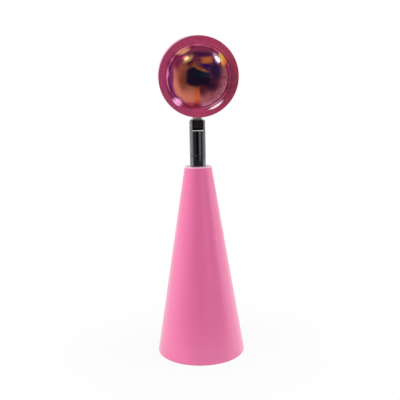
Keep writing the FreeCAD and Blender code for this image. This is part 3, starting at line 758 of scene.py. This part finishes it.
# %% Build the floor and the world
scene = bpy.context.scene
scene.view_settings.view_transform = "Standard"


def sheet(name, points, faces):
    """Mesh that belongs to the studio, not to the lamp."""
    mesh = bpy.data.meshes.new(name)
    mesh.from_pydata([tuple(point) for point in points], [], faces)
    made = bpy.data.objects.new(name, mesh)
    scene.collection.objects.link(made)
    return made


FLOOR_HALF = 4.0
GLOW_NEAR = 0.93
TABLE_DARKNESS = 0.93
floor = sheet("floor", [(-FLOOR_HALF, -FLOOR_HALF, 0), (FLOOR_HALF, -FLOOR_HALF, 0),
                        (FLOOR_HALF, FLOOR_HALF, 0), (-FLOOR_HALF, FLOOR_HALF, 0)], [(0, 1, 2, 3)])
paper = Finish("white floor", Roughness=0.9)
paper.shader.inputs["Base Color"].default_value = (0.82, 0.82, 0.82, 1)
mirrored = paper.add("ShaderNodeLightPath", out="Is Glossy Ray")
away = paper.add("ShaderNodeVectorMath", {"operation": "LENGTH"}, {0: paper.place()}, out="Value")
whiteness = GLOW_NEAR + (1 - GLOW_NEAR) * step(away, 0.05, 0.15)
table_edge = step(away, 0.1, 0.32)
in_front = step(paper.axes()[1] * -1 / away, 0.1, 0.4)
glow_tone = 1 - mirrored * table_edge * in_front * TABLE_DARKNESS
glow = paper.add("ShaderNodeEmission", {}, {"Color": glow_tone, "Strength": 1.0})
shown = whiteness * paper.looked_at()
mixed = paper.add("ShaderNodeMixShader", {},
                  {"Fac": shown, 1: Socket(paper, paper.shader.outputs[0]), 2: glow})
paper.tree.links.new(mixed.link, paper.tree.nodes["Material Output"].inputs["Surface"])
wear(floor, paper)

world = bpy.data.worlds.new("studio")
scene.world = world
world.use_nodes = True


class Sky(Finish):
    """The world's node tree, built with the same helpers as a material."""

    def __init__(self, target):
        self.tree = target.node_tree


AMBIENT = 0.21
sky = Sky(world)
backdrop = world.node_tree.nodes["Background"]
backdrop.inputs["Strength"].default_value = 1.0
brightness = AMBIENT + (1 - AMBIENT) * sky.looked_at()
world.node_tree.links.new(brightness.link, backdrop.inputs["Color"])

# %% [markdown]
# ## Lights
# Two tall softboxes stand left and right of the lamp, and a weaker one hangs above. They give light
# only: what the gloss shows of the room comes from the next step, where it is easier to steer.

# %% Place the lights
aim = Vector((0, 0, 0.5 * cone_high.z))


def softbox(name, place, width, height, power):
    """Rectangular light that faces the cone's middle, and that reflections don't show."""
    data = bpy.data.lights.new(name, "AREA")
    data.shape = "RECTANGLE"
    data.size, data.size_y = width, height
    data.energy = power
    light = bpy.data.objects.new(name, data)
    light.location = place
    light.rotation_mode = "QUATERNION"
    light.rotation_quaternion = (aim - Vector(place)).to_track_quat("-Z", "Y")
    light.visible_glossy = False
    scene.collection.objects.link(light)


softbox("left softbox", (-0.90, -0.50, 0.35), 0.5, 0.9, 10.2)
softbox("right softbox", (0.97, -0.13, 0.35), 0.4, 0.9, 9.0)
softbox("top softbox", (0.0, 0.1, 1.1), 0.6, 0.6, 2.0)

# %% [markdown]
# ## A room for the reflections
# Chrome has no colour of its own: it looks like chrome only when it has something to reflect. A
# large ball round the lamp, seen by reflections alone, plays the room. Its tone depends on the
# direction: dark where the camera and its owner stand, a pale doorway beside them, white walls to
# the sides and behind, and two lamps high up, which make the bright spots on the dome.

# %% Build the room
ROOM_RADIUS = 1.6
ROOM_CENTRE = np.array([0, 0, 0.2])
ROOM_COLUMNS, ROOM_ROWS = 64, 33
room_turn, room_rise = np.meshgrid(np.linspace(0, 2 * math.pi, ROOM_COLUMNS, endpoint=False),
                                   np.linspace(-math.pi / 2, math.pi / 2, ROOM_ROWS), indexing="xy")
room_points = ROOM_CENTRE + ROOM_RADIUS * np.stack(
    [np.cos(room_rise) * np.cos(room_turn), np.cos(room_rise) * np.sin(room_turn), np.sin(room_rise)], -1)
room = sheet("room", room_points.reshape(-1, 3), grid_faces(ROOM_ROWS, ROOM_COLUMNS, False).tolist())
for ray in ("camera", "diffuse", "transmission", "volume_scatter", "shadow"):
    setattr(room, "visible_" + ray, False)

walls = Finish("room to reflect", Roughness=1.0, Specular_IOR_Level=0.0)
walls.shader.inputs["Base Color"].default_value = (0, 0, 0, 1)
walls.shader.inputs["Emission Strength"].default_value = 1.0
outward = walls.add("ShaderNodeVectorMath", {"operation": "SUBTRACT"},
                    {0: walls.place(), 1: tuple(ROOM_CENTRE)})
outward = walls.add("ShaderNodeVectorMath", {"operation": "NORMALIZE"}, {0: outward})
east, north, rise = walls.axes(outward)
degrees = 180 / math.pi
bearing = east.math("ARCTAN2", east, north * -1) * degrees
height = rise.math("ARCSINE", rise) * degrees


def grey(brightness):
    return (brightness, brightness, brightness)


CAMERA_BEARING = -5.3
WALL_TONES = [(-84, 0.95), (-76, 0.6), (-66, 0.2), (-52, 0.09), (-34, 0.1), (-18, 0.045), (-10, 0.006),
              (12, 0.01), (20, 0.26), (30, 0.42), (42, 0.46), (50, 0.12), (60, 0.1), (74, 0.15),
              (84, 0.55), (100, 0.66), (124, 0.8)]
stops = [((wall_bearing + CAMERA_BEARING) / 360 + 0.5, grey(brightness))
         for wall_bearing, brightness in WALL_TONES]
wall_tone = walls.ramp(bearing / 360 + 0.5, *stops)
ceiling_tone = walls.blend(step(abs(bearing), 60, 120), (0.05, 0.045, 0.055, 1),
                           (0.55, 0.5, 0.52, 1))
tone = walls.blend(step(height, 14, 30), wall_tone, ceiling_tone)


def glowing(tone, centre, half, edge, lamp):
    """Adds a soft-edged lamp at (bearing, height) degrees, with a half width and half height."""
    off = (bearing - centre[0]) * math.cos(math.radians(centre[1])) / half[0]
    over = (height - centre[1]) / half[1]
    return walls.blend(inside((off * off + over * over) ** 0.5, edge), tone, (*lamp, 1))


tone = glowing(tone, (90, 39), (7, 7), 0.6, (6.0, 5.0, 6.4))
tone = glowing(tone, (-66, 54), (8, 6.5), 0.9, (3.4, 2.9, 2.3))
walls.feed(Emission_Color=tone)
walls.material.cycles.emission_sampling = "NONE"
wear(room, walls)

# %% [markdown]
# ## The camera
# The photograph was taken from close by, a little above the neck and slightly to the lamp's left,
# with the camera rolled by about one degree. The distance, height, pitch, roll and focal length
# were solved from the cone's edges, the ellipses of its foot and the neck, and the head's circle.

# %% Set the camera
CAMERA_DISTANCE = 492.5 * MM
CAMERA_HEIGHT = 214.0 * MM
CAMERA_AZIMUTH = math.radians(5.3)
CAMERA_PITCH = math.radians(9.71)
CAMERA_ROLL = math.radians(-1.04)
CAMERA_PAN = math.radians(0.13)
FOCAL_PIXELS = 602.0
FRAME_PIXELS = 400.0
SENSOR = 36.0

camera_data = bpy.data.cameras.new("camera")
camera_data.sensor_width = SENSOR
camera_data.lens = SENSOR * FOCAL_PIXELS / FRAME_PIXELS
camera = bpy.data.objects.new("camera", camera_data)
camera.location = (-CAMERA_DISTANCE * math.sin(CAMERA_AZIMUTH),
                   -CAMERA_DISTANCE * math.cos(CAMERA_AZIMUTH), CAMERA_HEIGHT)
heading = CAMERA_AZIMUTH + CAMERA_PAN
forward = Vector((math.sin(heading) * math.cos(CAMERA_PITCH),
                  math.cos(heading) * math.cos(CAMERA_PITCH), -math.sin(CAMERA_PITCH)))
camera.rotation_mode = "QUATERNION"
upright = forward.to_track_quat("-Z", "Y")
camera.rotation_quaternion = upright @ Quaternion(Vector((0, 0, 1)), CAMERA_ROLL)
scene.collection.objects.link(camera)
scene.camera = camera
print("lens %.1f mm" % camera_data.lens)
